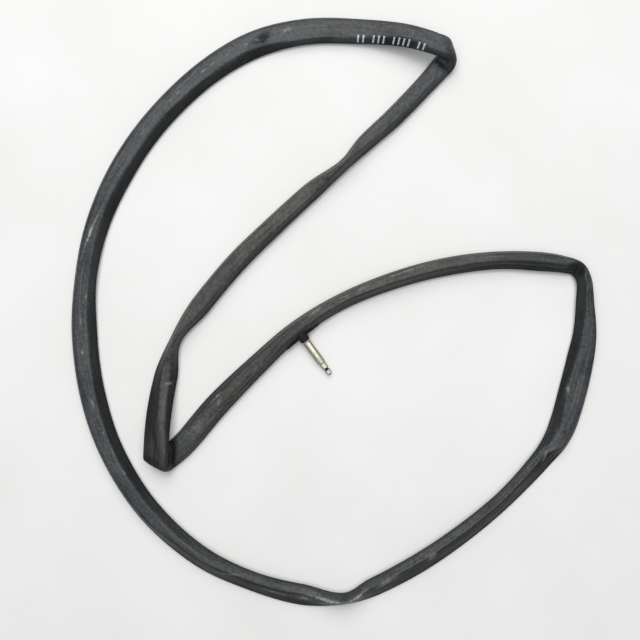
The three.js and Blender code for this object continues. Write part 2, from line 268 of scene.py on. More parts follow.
# Talc and scuffs: the same columns, with how strong the mark is in place of its depth.
SMUDGES = [
    (20, 0.55, 6, 0.18, 0.5, 0.01), (47, 0.3, 2.5, 0.12, 0.5, 0.0), (61, 0.45, 4, 0.16, 0.5, 0.02),
    (95, 0.6, 13, 0.05, 0.8, 0.003), (333, -0.5, 2.2, 0.07, 0.9, 0.02), (391, -0.12, 3.6, 0.07, 0.9, 0.04),
    (425, 0.05, 3, 0.06, 0.7, 0.0), (510, -0.1, 3.5, 0.25, 0.8, 0.02), (552, -0.15, 8, 0.2, 0.8, 0.01),
    (578, -0.1, 7, 0.25, 0.9, 0.03), (600, -0.1, 11, 0.24, 1.0, -0.02), (620, 0.1, 6, 0.2, 0.7, 0.0),
    (644, 0.2, 12, 0.1, 0.5, 0.0), (685, 0.1, 10, 0.05, 0.7, 0.05), (799.5, -0.3, 1.3, 0.07, 1.0, 0.0),
    (820, -0.3, 1.2, 0.06, 0.9, 0.0), (834.5, -0.15, 1.0, 0.06, 0.9, 0.0), (860, 0.0, 3, 0.06, 1.0, 0.01),
    (901, 0.12, 1.2, 0.07, 1.6, 0.0), (925, 0.1, 3, 0.05, 0.6, 0.01), (945, -0.35, 0.9, 0.05, 1.0, 0.0),
    (990, 0.28, 12, 0.06, 0.8, -0.012), (1003, 0.1, 12, 0.05, 0.7, -0.012), (995, 0.2, 5, 0.13, 0.8, 0.0),
    (1085, 0.1, 1.6, 0.06, 0.9, 0.0), (1118, 0.1, 1.5, 0.05, 0.8, 0.0), (1126, 0.12, 1.3, 0.05, 0.8, 0.0),
    (1152, 0.1, 1.5, 0.05, 0.8, 0.0), (1161, 0.14, 1.5, 0.05, 0.8, 0.0), (1175, 0.1, 1.4, 0.05, 0.8, 0.0),
    (1191, 0.08, 1.6, 0.06, 0.8, 0.0), (1201, 0.1, 1.4, 0.05, 0.8, 0.0), (1225, 0.2, 4, 0.14, 0.6, 0.02),
    (1713, -0.5, 1.0, 0.2, 0.7, 0.1), (1824, 0.1, 7, 0.25, 0.3, 0.0),
    (1853, 0.05, 3, 0.12, 0.5, 0.03), (1854, 0.5, 4, 0.06, 0.9, 0.0), (-44, -0.2, 5, 0.1, 0.3, 0.0),
]

CREASE_SEED = 11
CREASE_COUNT = 150
CREASE_PLACE = (0, 1960)       # the whole way round the tube
CREASE_ACROSS = (-0.8, 0.75)
CREASE_HALF_LENGTH = (9, 30)
CREASE_HALF_WIDTH = (0.05, 0.13)
CREASE_DEPTH = (0.1, 0.32)
CREASE_SLANT = (-0.006, 0.006)


def random_creases():
    """Long shallow creases and ridges, in the dents' columns, that the slack rubber has all over."""
    chance = random.Random(CREASE_SEED)
    creases = []
    for _ in range(CREASE_COUNT):
        place = chance.uniform(*CREASE_PLACE)
        across = chance.uniform(*CREASE_ACROSS)
        half_length = chance.uniform(*CREASE_HALF_LENGTH)
        half_width = chance.uniform(*CREASE_HALF_WIDTH)
        depth = chance.choice((-1, 1)) * chance.uniform(*CREASE_DEPTH)
        slant = chance.uniform(*CREASE_SLANT)
        creases.append((place, across, half_length, half_width, depth, slant))
    return creases


CREASES = random_creases()

RING_STEP = 1.6                # longest distance between two rings along a stretch
FOLD_FINENESS = 1.5            # how much closer the rings are round a fold
LONGEST_STEP = RING_STEP * 1.5     # most that one ring adds to its distance
RING_POINTS = 96
SQUARENESS = 3.2               # of the rounding at the tube's two edges
EDGE_FULLNESS = 0.6            # how quickly the upper face rises from an edge, less is quicker
SHOULDER_LIMIT = 0.84          # furthest across that the shoulder at the valve's side goes
LOWEST_PLANE = 0.01
SHOULDER_SHARPNESS = 14        # how tightly the rubber turns over a shoulder
GROOVE_WIDTH = 0.13            # in half widths of the tube
MOULD_LINE = 0.22              # how far the mould's parting line stands out at each edge
MARK_REACH = 2.6               # half lengths from its middle at which a mark has faded out
MEANDER = 0.16                 # how far the ridge wanders, in half widths
MEANDER_LENGTHS = (55, 15)     # of its slow and quick wandering
MEANDER_QUICK = 0.45           # the quick part's share
MEANDER_SLICE = 3.7            # where the noise is cut for it
SLACK = 0.3                    # how far the slack face rises and falls
SLACK_LENGTH = 17
SLACK_ACROSS = 1.3
SLACK_SLICE = 8
UNDERSIDE_BLOOM = 0.5
BLOOM_FADE = 0.18              # over which the bloom changes at a shoulder
HOLLOW_SHADE = 0.55              # share of the bloom taken off in a hollow a millimetre deep: painted shade in the hollow
ROUND_STEP = 0.45              # how far the streaks take two points of a ring to be apart

VALVE_ROW = 3                  # the row of OUTER_STRETCH that carries the valve
VALVE_ANGLE = -53.6            # heading of the stem seen from above, in degrees
VALVE_DIP = 5.1                # the stem slopes down to rest its nut on the floor, in degrees
BEFORE_VALVE = 60              # how much of the tube before the valve has distances below zero
UP = Vector((0, 0, 1))


def heading(degrees):
    """The level direction at an angle from +X."""
    angle = math.radians(degrees)
    return Vector((math.cos(angle), math.sin(angle), 0))


def smooth(low, high, value):
    """A step from 0 at low to 1 at high with no corner in it."""
    x = min(max((value - low) / (high - low), 0), 1)
    return x * x * (3 - 2 * x)


def blend_values(a, b, share):
    """The values between two rows of values, at a share of the way from the first."""
    return tuple(x + (y - x) * share for x, y in zip(a, b))


class Fold:
    """A fold turns the tube over like a strip of ribbon: in on top, out underneath."""

    def __init__(self, centre, angle_in, angle_out, radius, width, height, style):
        self.along = heading((angle_in + angle_out) / 2)
        self.direction_in = heading(angle_in)
        self.direction_out = heading(angle_out)
        across = self.direction_in - self.along * self.direction_in.dot(self.along)
        self.out = across.normalized()
        self.travel = math.pi * radius / self.direction_in.dot(self.out)
        self.start = Vector((*centre, 0))
        self.end = self.start + self.along * self.travel * self.direction_in.dot(self.along)
        self.radius = radius
        self.width = width
        self.height = height
        self.style = style
        self.axis_height = height / 2 + radius

    def bend(self, point, leaving):
        """Bends a point round the fold. A leaving point is first unrolled onto the incoming strip."""
        if (point - self.start).length > FOLD_REACH:
            return point
        offset = point - self.start
        reach = offset.dot(self.out)
        lift = point.z - self.axis_height
        if leaving:
            reach = math.pi * self.radius - reach
            lift = -lift
        angle = min(max(reach / self.radius, 0), math.pi)
        straight = reach - angle * self.radius
        place = self.start + self.along * offset.dot(self.along)
        place += self.out * (lift * math.sin(angle) + straight * math.cos(angle))
        place.z = self.axis_height + lift * math.cos(angle)
        return place


fold_a = Fold(**FOLD_A)
fold_b = Fold(**FOLD_B)


def spline_point(points, span, share):
    """A centripetal Catmull-Rom spline through points, and its direction, at a share of one span."""
    last = len(points) - 1
    p1, p2 = points[span], points[span + 1]
    p0 = points[span - 1] if span > 0 else p1 * 2 - p2
    p3 = points[span + 2] if span + 2 <= last else p2 * 2 - p1
    gaps = [max((b - a).length, 1e-4) ** 0.5 for a, b in ((p0, p1), (p1, p2), (p2, p3))]
    leave = ((p1 - p0) / gaps[0] - (p2 - p0) / (gaps[0] + gaps[1]) + (p2 - p1) / gaps[1]) * gaps[1]
    reach = ((p2 - p1) / gaps[1] - (p3 - p1) / (gaps[1] + gaps[2]) + (p3 - p2) / gaps[2]) * gaps[1]
    square = (p2 - p1) * 3 - leave * 2 - reach
    cube = (p1 - p2) * 2 + leave + reach
    place = p1 + leave * share + square * share ** 2 + cube * share ** 3
    direction = leave + square * 2 * share + cube * 3 * share ** 2
    return place, direction


class Section:
    """One ring of the tube: where it is, which way it runs, its size and how the rubber lies.

    Face is 1 where the ring's first half is on top and -1 where the tube is turned over. Distance is
    from the valve, laid is from the first ring, and turn is how far round a fold the ring has gone."""

    def __init__(self, centre, along, face, width, height, style):
        self.centre = centre
        self.along = along.normalized()
        self.face = face
        self.width = width
        self.height = height
        self.style = style
        self.distance = 0
        self.laid = 0
        self.turn = 0


def stretch_sections(rows, start, end, face):
    """Sections along a stretch between two folds. The end that passes over its fold climbs to it."""
    first = (start.end.x, start.end.y, start.width, start.height, start.style)
    last = (end.start.x, end.start.y, end.width, end.height, end.style)
    rows = [first, *rows, last]
    plan = [Vector((row[0], row[1], 0)) for row in rows]
    sizes = [Vector((row[2], row[3], 0)) for row in rows]
    sections = []
    for span in range(len(rows) - 1):
        count = math.ceil((plan[span + 1] - plan[span]).length / RING_STEP)
        for i in range(count):
            share = i / count
            place, along = spline_point(plan, span, share)
            size, _ = spline_point(sizes, span, share)
            style = blend_values(STYLES[rows[span][4]], STYLES[rows[span + 1][4]], smooth(0, 1, share))
            sections.append(Section(place, along, face, size.x, size.y, style))
    style = STYLES[end.style]
    sections.append(Section(end.start.copy(), end.direction_in, face, end.width, end.height, style))
    sections[0].along = start.direction_out
    for index, one in enumerate(sections):
        remaining = (one.centre - end.start).length
        rise = smooth(CLIMB, 0, remaining) if index > len(sections) / 2 else 0
        one.centre.z = one.height / 2 + rise * 2 * end.radius
    return sections


def fold_sections(fold, face):
    """Sections round a fold, laid out flat past its axis before they are bent. On the way round, the
    face that was below takes over the shape of the upper one."""
    count = math.ceil(fold.travel / RING_STEP * FOLD_FINENESS)
    sections = []
    for i in range(1, count):
        centre = fold.start + fold.direction_in * fold.travel * i / count
        centre.z = fold.axis_height + fold.radius
        section = Section(centre, fold.direction_in, face, fold.width, fold.height, STYLES[fold.style])
        section.turn = smooth(0, 1, i / count)
        sections.append(section)
    return sections


def skin_heights(across, style, wander):
    """The heights of the lower and the upper skin at a place across the tube, as shares of its
    height."""
    edge_in, at_in, high_in, at_out, high_out, edge_out, groove_at, groove = style[:8]
    at_in = min(at_in + wander, SHOULDER_LIMIT)
    groove_at += wander
    edge = edge_in + (edge_out - edge_in) * (across + 1) / 2
    rounding = max(1 - abs(across) ** SQUARENESS, 0) ** (1 / SQUARENESS)
    planes = (
        edge_in + (high_in - edge_in) * (across + 1) / (at_in + 1),
        high_in + (high_out - high_in) * (across - at_in) / (at_out - at_in),
        edge_out + (high_out - edge_out) * (1 - across) / (1 - at_out),
    )
    roof = sum(max(plane, LOWEST_PLANE) ** -SHOULDER_SHARPNESS for plane in planes)
    roof = roof ** (-1 / SHOULDER_SHARPNESS)
    roof -= groove * math.exp(-((across - groove_at) / GROOVE_WIDTH) ** 2)
    return edge * (1 - rounding), edge + (roof - edge) * rounding ** EDGE_FULLNESS


def bloom_and_shade_across(across, style, wander):
    """How much bloom there is at a place across the upper face. Less bloom is painted shade on the steep
    faces.
    """
    at_in, at_out = style[1] + wander, style[3]
    near, top, far = style[8:]
    dull = near + (top - near) * smooth(at_in - BLOOM_FADE, at_in + BLOOM_FADE, across)
    return dull + (far - dull) * smooth(at_out - BLOOM_FADE, at_out + BLOOM_FADE, across)


def marks_near(marks, distance):
    """The marks whose length reaches a distance."""
    return [mark for mark in marks if abs(distance - mark[0]) < mark[2] * MARK_REACH]


def mark_strength(marks, distance, across):
    """How strongly the marks act at a place on the upper face."""
    total = 0
    for place, middle, half_length, half_width, strength, slant in marks:
        along = distance - place
        aside = (across - middle - slant * along) / half_width
        total += strength * math.exp(-(along / half_length) ** 2 - aside * aside)
    return total


def ridge_wander(distance):
    """How far the ridge has strayed across the tube."""
    places = (Vector((distance / length, MEANDER_SLICE, 0)) for length in MEANDER_LENGTHS)
    slow, quick = (noise.noise(place) for place in places)
    return MEANDER * (slow + MEANDER_QUICK * quick)


def across_at(i):
    """How far across the tube the i-th point of a ring lies, and how far up its edge is turned."""
    angle = i * 2 * math.pi / RING_POINTS
    reach, rise = math.cos(angle), math.sin(angle)
    return reach * (abs(reach) ** SQUARENESS + abs(rise) ** SQUARENESS) ** (-1 / SQUARENESS), rise


def ring(section):
    """The points of one section's skin."""
    side = (UP * section.face).cross(section.along).normalized()
    floor = section.centre.z - section.height / 2
    dents = marks_near(DENTS + CREASES, section.distance)
    wander = ridge_wander(section.distance)
    points = []
    for i in range(RING_POINTS):
        across, rise = across_at(i)
        low, high = skin_heights(across, section.style, wander)
        upper = rise * section.face > 0
        here, there = (high, low) if upper else (low, high)
        lift = here + (1 - there - here) * section.turn
        proud = MOULD_LINE if i % (RING_POINTS // 2) == 0 else 0
        point = section.centre + side * (section.width / 2 * across + proud * math.copysign(1, across))
        point.z = floor + lift * section.height
        if upper:
            fade = (1 - across ** 4) * (1 - section.turn)
            slice_at = Vector((section.distance / SLACK_LENGTH, across * SLACK_ACROSS, SLACK_SLICE))
            slack = SLACK * noise.noise(slice_at)
            dent = mark_strength(dents, section.distance, across)
            point.z += (slack - dent) * fade
        points.append(point)
    return points


def tube_order():
    """Every section in order round the tube, with the fold that it bends round and whether it leaves
    that fold."""
    outer = stretch_sections(OUTER_STRETCH, fold_b, fold_a, 1)
    inner = stretch_sections(INNER_STRETCH, fold_a, fold_b, -1)
    order = []
    for sections, start, end, face in ((outer, fold_b, fold_a, 1), (inner, fold_a, fold_b, -1)):
        half = len(sections) / 2
        order += [(one, start if i <= half else end, i <= half) for i, one in enumerate(sections)]
        order += [(one, end, False) for one in fold_sections(end, face)]
    travelled = 0
    for (before, _, _), (one, _, _) in zip(order, order[1:]):
        travelled += min((one.centre - before.centre).length, LONGEST_STEP)
        one.distance = travelled
    valve_place = Vector((*OUTER_STRETCH[VALVE_ROW][:2], 0))
    nearest = min(outer, key=lambda one: (Vector((*one.centre.xy, 0)) - valve_place).length)
    at_valve = nearest.distance
    for one, _, _ in order:
        one.laid = one.distance
        one.distance = (one.distance - at_valve) % travelled
        if one.distance > travelled - BEFORE_VALVE:
            one.distance -= travelled
    return order


def skin_object(name, rings):
    """A closed skin through rings that joins up with its own start."""
    points = [point * MM for one in rings for point in one]
    faces = []
    for i in range(len(rings)):
        here = i * RING_POINTS
        after = (i + 1) % len(rings) * RING_POINTS
        for j in range(RING_POINTS):
            k = (j + 1) % RING_POINTS
            faces.append((here + j, here + k, after + k, after + j))
    return mesh_object(name, points, faces)


def mesh_object(name, points, faces):
    """A smooth-shaded object from points in metres and faces."""
    mesh = bpy.data.meshes.new(name)
    mesh.from_pydata(points, [], faces)
    mesh.shade_smooth()
    mesh.update()
    made = bpy.data.objects.new(name, mesh)
    bpy.context.collection.objects.link(made)
    return made


def add_attribute(mesh, name, kind, field, values):
    """Values at a mesh's points, for its material to read."""
    layer = mesh.attributes.new(name, kind, "POINT")
    layer.data.foreach_set(field, values)


def paint_tube(tube, order):
    """Point attributes: where each point lies along and round the tube, its talc, and the dull bloom
    on its faces, which also holds painted shade: less bloom on the steep faces and in the hollows."""
    lie = []
    talc = []
    bloom_and_shade = []
    for section, _, _ in order:
        smudges = marks_near(SMUDGES, section.distance)
        dents = marks_near(DENTS, section.distance)
        wander = ridge_wander(section.distance)
        for i in range(RING_POINTS):
            across, rise = across_at(i)
            upper = rise * section.face > 0
            hollow = max(mark_strength(dents, section.distance, across), 0) if upper else 0
            share = 1 - section.turn if upper else section.turn
            # Painted shade: less bloom on the steep faces and in the dents' hollows darkens them.
            dull = UNDERSIDE_BLOOM + (bloom_and_shade_across(across, section.style, wander) - UNDERSIDE_BLOOM) * share
            lie += [section.laid, i * ROUND_STEP, across]
            bloom_and_shade.append(dull * max(1 - hollow * HOLLOW_SHADE, 0))
            talc.append(mark_strength(smudges, section.distance, across) if upper else 0)
    add_attribute(tube.data, "lie", "FLOAT_VECTOR", "vector", lie)
    add_attribute(tube.data, "talc", "FLOAT", "value", talc)
    add_attribute(tube.data, "bloom_and_shade", "FLOAT", "value", bloom_and_shade)


order = tube_order()
rings = [[fold.bend(point, leaving) for point in ring(one)] for one, fold, leaving in order]
tube = skin_object("tube_skin", rings)
paint_tube(tube, order)


class TubeSurface:
    """The tube's skin as a surface: a point and its outward normal at a distance and a place round a
    ring."""

    def __init__(self, tube, order):
        self.points = [vertex.co / MM for vertex in tube.data.vertices]
        self.normals = [vertex.normal.copy() for vertex in tube.data.vertices]
        self.distances = [section.distance for section, _, _ in order]

    def at(self, distance, around):
        distances = self.distances
        index = next(i for i in range(len(distances) - 1) if distances[i] <= distance < distances[i + 1])
        along_share = (distance - distances[index]) / (distances[index + 1] - distances[index])
        first = math.floor(around)
        left = first % RING_POINTS
        right = (first + 1) % RING_POINTS
        results = []
        for values in (self.points, self.normals):
            here, after = (
                values[start + left].lerp(values[start + right], around - first)
                for start in (index * RING_POINTS, (index + 1) * RING_POINTS)
            )
            results.append(here.lerp(after, along_share))
        return results[0], results[1].normalized()


surface = TubeSurface(tube, order)


def closed_patch(rows):
    """Faces of a closed slab. Rows is a grid of (outer, inner) point pairs."""
    columns = len(rows[0])
    points = [pair[layer] * MM for layer in (0, 1) for row in rows for pair in row]
    half = len(rows) * columns
    faces = []
    for i in range(len(rows) - 1):
        for j in range(columns - 1):
            a = i * columns + j
            corners = (a, a + 1, a + columns + 1, a + columns)
            faces.append(corners)
            faces.append(tuple(half + corner for corner in reversed(corners)))
    rim = list(range(columns))
    rim += [i * columns + columns - 1 for i in range(1, len(rows))]
    rim += [(len(rows) - 1) * columns + j for j in range(columns - 2, -1, -1)]
    rim += [i * columns for i in range(len(rows) - 2, 0, -1)]
    for here, after in zip(rim, rim[1:] + rim[:1]):
        faces.append((after, here, half + here, half + after))
    return points, faces


# ---- the valve's moulded base --------------------------------

EDGE_IN = RING_POINTS // 2     # the point of a ring at the valve's side
PAD = {
    "half_length": 18.5,       # along the tube
    "half_width": 13,          # points of a ring
    "thickness": 1.15,
    "buried": 0.06,            # how far its feathered edge lies under the skin
    "sunk": 0.3,               # how far its inner face lies under the skin
    "corner": 2.8,             # the exponent of its oval outline
    "rim": 0.8,                # share of the way out where it starts to feather
    "crown": 0.45,             # share of the way out where it starts to thin
    "thinned": 0.25,           # how much thinner it is at the rim than in the middle
}
PAD_GRID = (66, 46)


def pad_patch():
    """A feathered oval patch that is bonded over the tube's inner side."""
    rows = []
    for i in range(PAD_GRID[0] + 1):
        u = i / PAD_GRID[0] * 2 - 1
        row = []
        for j in range(PAD_GRID[1] + 1):
            v = j / PAD_GRID[1] * 2 - 1
            radius = max(abs(u), abs(v))
            oval = (abs(u) ** PAD["corner"] + abs(v) ** PAD["corner"] + 1e-9) ** (1 / PAD["corner"])
            stretch = radius / oval
            around = EDGE_IN + v * stretch * PAD["half_width"]
            place, normal = surface.at(u * stretch * PAD["half_length"], around)
            feathered = 1 - smooth(PAD["rim"], 1.0, radius)
            crowned = 1 - PAD["thinned"] * smooth(PAD["crown"], PAD["rim"], radius)
            thickness = PAD["thickness"] * feathered * crowned
            row.append((place + normal * (thickness - PAD["buried"]), place - normal * PAD["sunk"]))
        rows.append(row)
    points, faces = closed_patch(rows)
    return mesh_object("valve_base_patch", points, faces)


valve_pad = pad_patch()

# ---- turned pieces of the valve ------------------------------

DIP = math.radians(VALVE_DIP)
AXIS = heading(VALVE_ANGLE) * math.cos(DIP) - UP * math.sin(DIP)
SIDE = AXIS.cross(UP).normalized()
LIFT = SIDE.cross(AXIS)
SEAT = Vector((-25.24, -18.97, 5.654))     # where the stem's axis meets the tube's skin
TURNED_SEGMENTS = 96
PIN_SEGMENTS = 48
TURNED_STEP = 0.12             # distance between two rings where a piece has a thread or a knurl
SHARP_ANGLE = 35               # an edge that turns by more degrees than this is shaded sharp
KNURL_EASE = 0.3               # length over which the serrations start and end


def thread(pitch, depth, low, high):
    """A screw thread between two heights along the stem."""
    def shape(along, angle, radius):
        phase = (along / pitch - angle / (2 * math.pi)) % 1
        inside = smooth(low, low + pitch, along) * (1 - smooth(high - pitch, high, along))
        return radius - depth * inside * abs(phase * 2 - 1)
    return shape


def knurl(teeth, depth, low, high):
    """Straight serrations between two heights along the stem."""
    def shape(along, angle, radius):
        inside = smooth(low, low + KNURL_EASE, along) * (1 - smooth(high - KNURL_EASE, high, along))
        return radius - depth * inside * (0.5 + 0.5 * math.cos(teeth * angle))
    return shape


def flats(across_flats, low, high):
    """Two flats for a small spanner between two heights along the stem."""
    def shape(along, angle, radius):
        if not low < along < high:
            return radius
        return min(radius, across_flats / 2 / max(abs(math.sin(angle)), 1e-6))
    return shape


def turned(name, profile, shape=None, shaped=None, segments=TURNED_SEGMENTS):
    """A piece turned about the stem's axis from a closed profile of (height, radius) rows.

    Its shape function reshapes the radius on the rows from shaped[0] to shaped[1], which are divided
    finely enough to show it."""
    rows = []
    for index, (along, radius) in enumerate(profile):
        rows.append((along, radius, bool(shaped) and shaped[0] <= index <= shaped[1]))
        if shaped and shaped[0] <= index < shaped[1]:
            after, after_radius = profile[index + 1]
            count = math.ceil(abs(after - along) / TURNED_STEP)
            for i in range(1, count):
                between = along + (after - along) * i / count
                rows.append((between, radius + (after_radius - radius) * i / count, True))
    points = []
    for along, radius, reshaped in rows:
        for k in range(segments):
            angle = k * 2 * math.pi / segments
            reach = shape(along, angle, radius) if reshaped else radius
            spot = SIDE * (reach * math.cos(angle)) + LIFT * (reach * math.sin(angle))
            points.append((SEAT + AXIS * along + spot) * MM)
    faces = []
    for i in range(len(rows)):
        here = i * segments
        after = (i + 1) % len(rows) * segments
        for k in range(segments):
            m = (k + 1) % segments
            faces.append((here + k, here + m, after + m, after + k))
    made = mesh_object(name, points, faces)
    made.data.set_sharp_from_angle(angle=math.radians(SHARP_ANGLE))
    turned_at = [value for point in points for value in lathe_place(point / MM)]
    add_attribute(made.data, "turned", "FLOAT_VECTOR", "vector", turned_at)
    return made


def lathe_place(point):
    """Height along the stem, radius and angle of a point, for the turning marks."""
    offset = point - SEAT
    along = offset.dot(AXIS)
    across = offset - AXIS * along
    return along, across.length, math.atan2(across.dot(LIFT), across.dot(SIDE))


BOSS_LOBES = 6                 # soft corners round the boss
BOSS_LOBE_DEPTH = 0.014        # as a share of its radius
BOSS_UNEVEN = 0.07


def boss_shape(along, angle, radius):
    """The moulded boss is a little lobed and uneven."""
    uneven = BOSS_UNEVEN * noise.noise(Vector((along, angle * 2, 4)))
    return radius * (1 + BOSS_LOBE_DEPTH * math.cos(BOSS_LOBES * angle)) + uneven


core_thread = thread(pitch=0.5, depth=0.26, low=20.7, high=26.7)
core_flats = flats(across_flats=3.7, low=27.7, high=30.9)


def core_shape(along, angle, radius):
    """The core's thread, which sits in the stem, and the flats on its collar."""
    return core_flats(along, angle, core_thread(along, angle, radius))


# Each profile goes round its section as (height along the stem, radius) rows.
BOSS_PROFILE = [
    (-3.6, 3.06), (-3.6, 4.2), (-0.4, 4.35), (0.8, 4.3), (1.6, 4.15), (3.2, 4.1), (4.0, 3.95), (4.6, 3.7),
    (4.95, 3.4), (5.05, 3.25), (4.9, 3.06),
]
STEM_PROFILE = [
    (-3.7, 1.8), (-3.7, 3.7), (-2.9, 3.7), (-2.9, 3.0), (6.4, 3.0), (6.55, 2.9), (6.9, 2.9), (7.05, 3.0),
    (24.2, 3.0), (24.35, 2.88), (24.7, 2.88), (24.85, 3.0), (26.1, 3.0), (26.5, 2.62), (26.5, 2.25),
    (18.6, 2.25), (18.6, 1.8),
]
CORE_PROFILE = [
    (12, 1.15), (12, 1.55), (20.3, 1.55), (20.6, 1.8), (20.7, 2.05), (26.7, 2.05), (26.8, 1.9), (26.9, 2.1),
    (27.15, 2.3), (27.6, 2.3), (31.0, 2.3), (31.5, 2.3), (31.8, 2.05), (31.8, 1.15),
]
PIN_PROFILE = [
    (8.7, 0.02), (8.7, 1.0), (8.85, 1.15), (9.15, 1.15), (9.3, 1.0), (9.3, 0.75), (31.1, 0.75), (31.2, 0.95),
    (37.2, 0.95), (37.25, 1.12), (37.4, 1.3), (37.55, 1.24), (37.7, 0.9), (37.7, 0.02),
]
NUT_PROFILE = [
    (32.8, 1.15), (32.8, 1.6), (32.95, 1.75), (33.5, 1.75), (33.6, 1.9), (33.9, 2.25), (36.6, 2.25),
    (36.9, 2.0), (37, 1.75), (37, 1.15),
]

boss = turned("valve_base_collar", BOSS_PROFILE, boss_shape, shaped=(2, 8))
stem = turned("stem_barrel", STEM_PROFILE)
core = turned("core_shell", CORE_PROFILE, core_shape, shaped=(4, 11))
pin_thread = thread(pitch=0.4, depth=0.16, low=31.2, high=37.2)
pin = turned("plunger_rod", PIN_PROFILE, pin_thread, shaped=(7, 8), segments=PIN_SEGMENTS)
nut_knurl = knurl(teeth=30, depth=0.09, low=33.8, high=36.8)
nut = turned("lock_nut_knurled", NUT_PROFILE, nut_knurl, shaped=(5, 7))

# ---- plain bars where the real tube is printed ---------------

PRINT = {
    "first": 1282,             # the first bar's distance from the valve
    "step": 4.2,               # from one bar to the next
    "low": 31,                 # point of a ring where a bar starts
    "high": 39.5,              # point of a ring where it ends
    "width": 1.45,
    "proud": 0.07,
    "sunk": 0.05,
}
PRINT_BARS = "||.|||.||||.||"  # a dot leaves a space
BAR_STEPS = 10


def print_bars():
    """Thin bars that lie on the rubber, in four groups."""
    points = []
    faces = []
    for index, mark in enumerate(PRINT_BARS):
        if mark == ".":
            continue
        rows = []
        for i in (-0.5, 0, 0.5):
            distance = PRINT["first"] + index * PRINT["step"] + i * PRINT["width"]
            row = []
            for k in range(BAR_STEPS + 1):
                around = PRINT["low"] + (PRINT["high"] - PRINT["low"]) * k / BAR_STEPS
                place, normal = surface.at(distance, around)
                row.append((place + normal * PRINT["proud"], place - normal * PRINT["sunk"]))
            rows.append(row)
        bar_points, bar_faces = closed_patch(rows)
        faces += [tuple(len(points) + corner for corner in face) for face in bar_faces]
        points += bar_points
    return mesh_object("printed_bars", points, faces)


bars = print_bars()

# ---- materials -----------------------------------------------


class Look:
    """A procedural material: shorthand for the nodes that feed its Principled shader."""

    def __init__(self, name, roughness, metallic=0.0, specular=0.5):
        self.material, self.tree, self.shader = new_material(name)
        self.shader.inputs["Roughness"].default_value = roughness
        self.shader.inputs["Metallic"].default_value = metallic
        self.shader.inputs["Specular IOR Level"].default_value = specular

    def node(self, kind, **settings):
        made = self.tree.nodes.new(kind)
        for name, value in settings.items():
            setattr(made, name, value)
        return made

    def link(self, source, target):
        self.tree.links.new(source, target)

    def attribute(self, name):
        return self.node("ShaderNodeAttribute", attribute_name=name)

    def object_place(self):
        return self.node("ShaderNodeTexCoord").outputs["Object"]

    def scaled(self, source, scale):
        mapping = self.node("ShaderNodeMapping")
        mapping.inputs["Scale"].default_value = scale
        self.link(source, mapping.inputs["Vector"])
        return mapping.outputs["Vector"]

    def noise(self, source, scale, detail=3.0, rough=0.55):
        made = self.node("ShaderNodeTexNoise")
        made.inputs["Scale"].default_value = scale
        made.inputs["Detail"].default_value = detail
        made.inputs["Roughness"].default_value = rough
        self.link(source, made.inputs["Vector"])
        return made.outputs["Fac"]

    def spread(self, value, low, high, to_low=0.0, to_high=1.0):
        """Maps a value from low..high to to_low..to_high, held at both ends."""
        made = self.node("ShaderNodeMapRange", clamp=True)
        made.inputs["From Min"].default_value = low
        made.inputs["From Max"].default_value = high
        made.inputs["To Min"].default_value = to_low
        made.inputs["To Max"].default_value = to_high
        self.link(value, made.inputs["Value"])
        return made.outputs["Result"]

    def maths(self, kind, first, second):
        made = self.node("ShaderNodeMath", operation=kind)
        for socket, value in zip(made.inputs, (first, second)):
            if isinstance(value, (int, float)):
                socket.default_value = value
            else:
                self.link(value, socket)
        return made.outputs["Value"]

    def blend(self, share, first, second):
        """A mix of two colours, each a colour or a socket."""
        made = self.node("ShaderNodeMix", data_type="RGBA")
        self.link(share, made.inputs["Factor"])
        for socket, value in ((made.inputs[6], first), (made.inputs[7], second)):
            if isinstance(value, tuple):
                socket.default_value = (*value, 1)
            else:
                self.link(value, socket)
        return made.outputs[2]

    def finish(self, colour, roughness, height, bump_distance):
        """Joins up the shader and returns the material."""
        bump = self.node("ShaderNodeBump")
        bump.inputs["Distance"].default_value = bump_distance
        self.link(height, bump.inputs["Height"])
        self.link(bump.outputs["Normal"], self.shader.inputs["Normal"])
        self.link(colour, self.shader.inputs["Base Color"])
        self.link(roughness, self.shader.inputs["Roughness"])
        return self.material


RUBBER = (0.0098, 0.0102, 0.0108)
BLOOM_WARM = (0.083, 0.085, 0.076)
BLOOM_COOL = (0.077, 0.082, 0.086)
# Painted shade with a violet tint for the tube's far edge.
FAR_EDGE_SHADE = (0.015, 0.012, 0.026)
TALC = (0.34, 0.35, 0.33)

# Noise scales per metre, and (low, high, to_low, to_high) for what each value is spread to.
BUTYL = {
    "cloud_scale": 30,
    "stray_scale": 9,
    "grain_scale": 1500,
    "fine_scale": 420,
    "streak_scale": (0.03, 0.9, 0),     # long along the tube and narrow round it
    "stray": (0.3, 0.7, -0.04, 0.04),
    "warm_reach": (0.11, 0.2),          # metres from the middle over which the bloom turns cool
    "fine_bloom": (0.35, 0.65, 0.6, 1.3),
    "streak_bloom": (0.3, 0.7, 0.5, 1.2),
    "cloud_bloom": (0.32, 0.62, 0.5, 1.0),
    "face_bloom_and_shade": (0, 1, 0.06, 1.15),
    "pale_streaks": (0.54, 0.72, 0, 0.14),
    "far_edge_shade": (0.45, 0.97, 0, 0.65),
    "near_edge_shade": (-0.99, -0.85, 0.5, 0),
    "dust": (0.66, 0.78, 0, 0.22),
    "dusty_clouds": (0.45, 0.6),
    "broken_talc": (0.38, 0.6, 0.25, 1.0),
    "roughness": (0.35, 0.7, 0.36, 0.46),
    "talc_roughness": 0.4,
    "streak_height": 0.7,
    "grain_height": 0.3,
    "bump": 0.00022,
}


